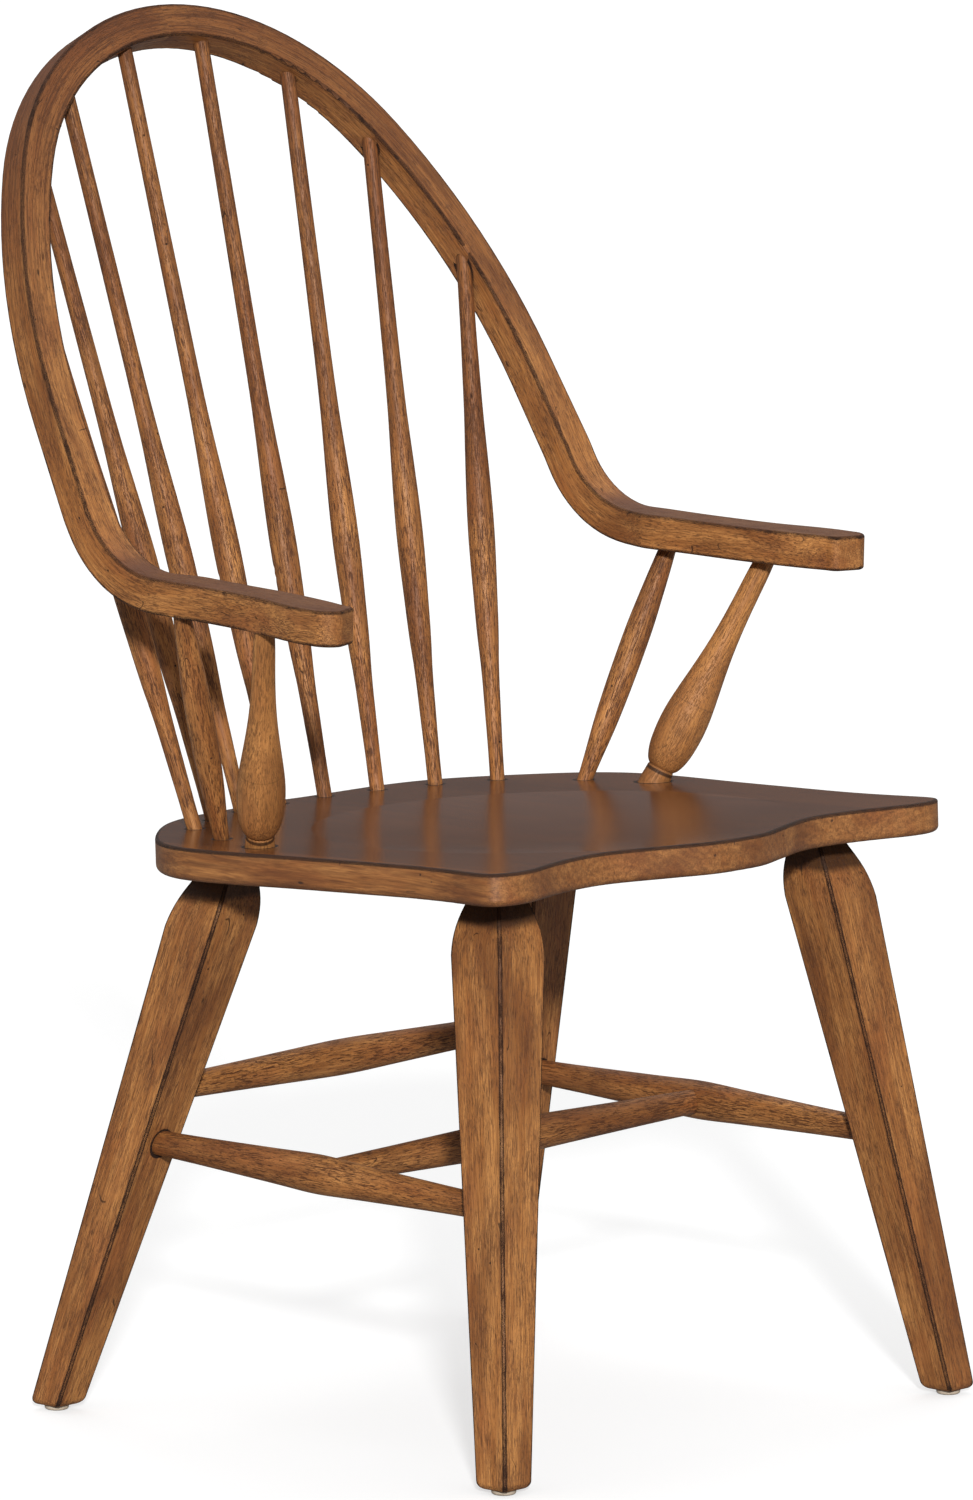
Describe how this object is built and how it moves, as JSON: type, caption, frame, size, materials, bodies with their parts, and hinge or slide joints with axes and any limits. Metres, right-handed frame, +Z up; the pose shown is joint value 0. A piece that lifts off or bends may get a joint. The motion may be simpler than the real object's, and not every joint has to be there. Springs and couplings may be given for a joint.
{
  "type": "windsor armchair",
  "caption": "Wooden windsor armchair with a continuous bent bow and arms, turned spindles, a shaped seat and splayed square legs.",
  "frame": {"origin": "on the floor under the middle of the chair's bounding box", "axes": "+Z up, the chair faces -Y, the sitter's left is +X"},
  "size_m": [0.6248, 0.64, 1.0707],
  "materials": {
    "seat": "satin, dark glazed top over a light brown board",
    "bow": "satin light brown stain with dark glaze along the edges",
    "spindles": "satin light brown stain with fine open grain",
    "legs": "satin light brown stain, rubbed dark glaze on the corners",
    "stretchers": "satin light brown stain with fine open grain",
    "glides": "plain pale disc"
  },
  "bodies": {
    "root": {"seat": "seat", "bow": "bow", "back_spindle_1": "spindles", "back_spindle_2": "spindles", "back_spindle_3": "spindles", "back_spindle_4": "spindles", "back_spindle_5": "spindles", "back_spindle_6": "spindles", "back_spindle_7": "spindles", "back_spindle_8": "spindles", "short_spindle_left": "spindles", "short_spindle_right": "spindles", "arm_post_left": "spindles", "arm_post_right": "spindles", "front_leg_left": "legs", "front_leg_right": "legs", "rear_leg_left": "legs", "rear_leg_right": "legs", "side_stretcher_left": "stretchers", "side_stretcher_right": "stretchers", "cross_stretcher": "stretchers", "rear_stretcher": "stretchers", "glide_front_left": "glides", "glide_front_right": "glides", "glide_rear_left": "glides", "glide_rear_right": "glides"}
  },
  "joints": []
}
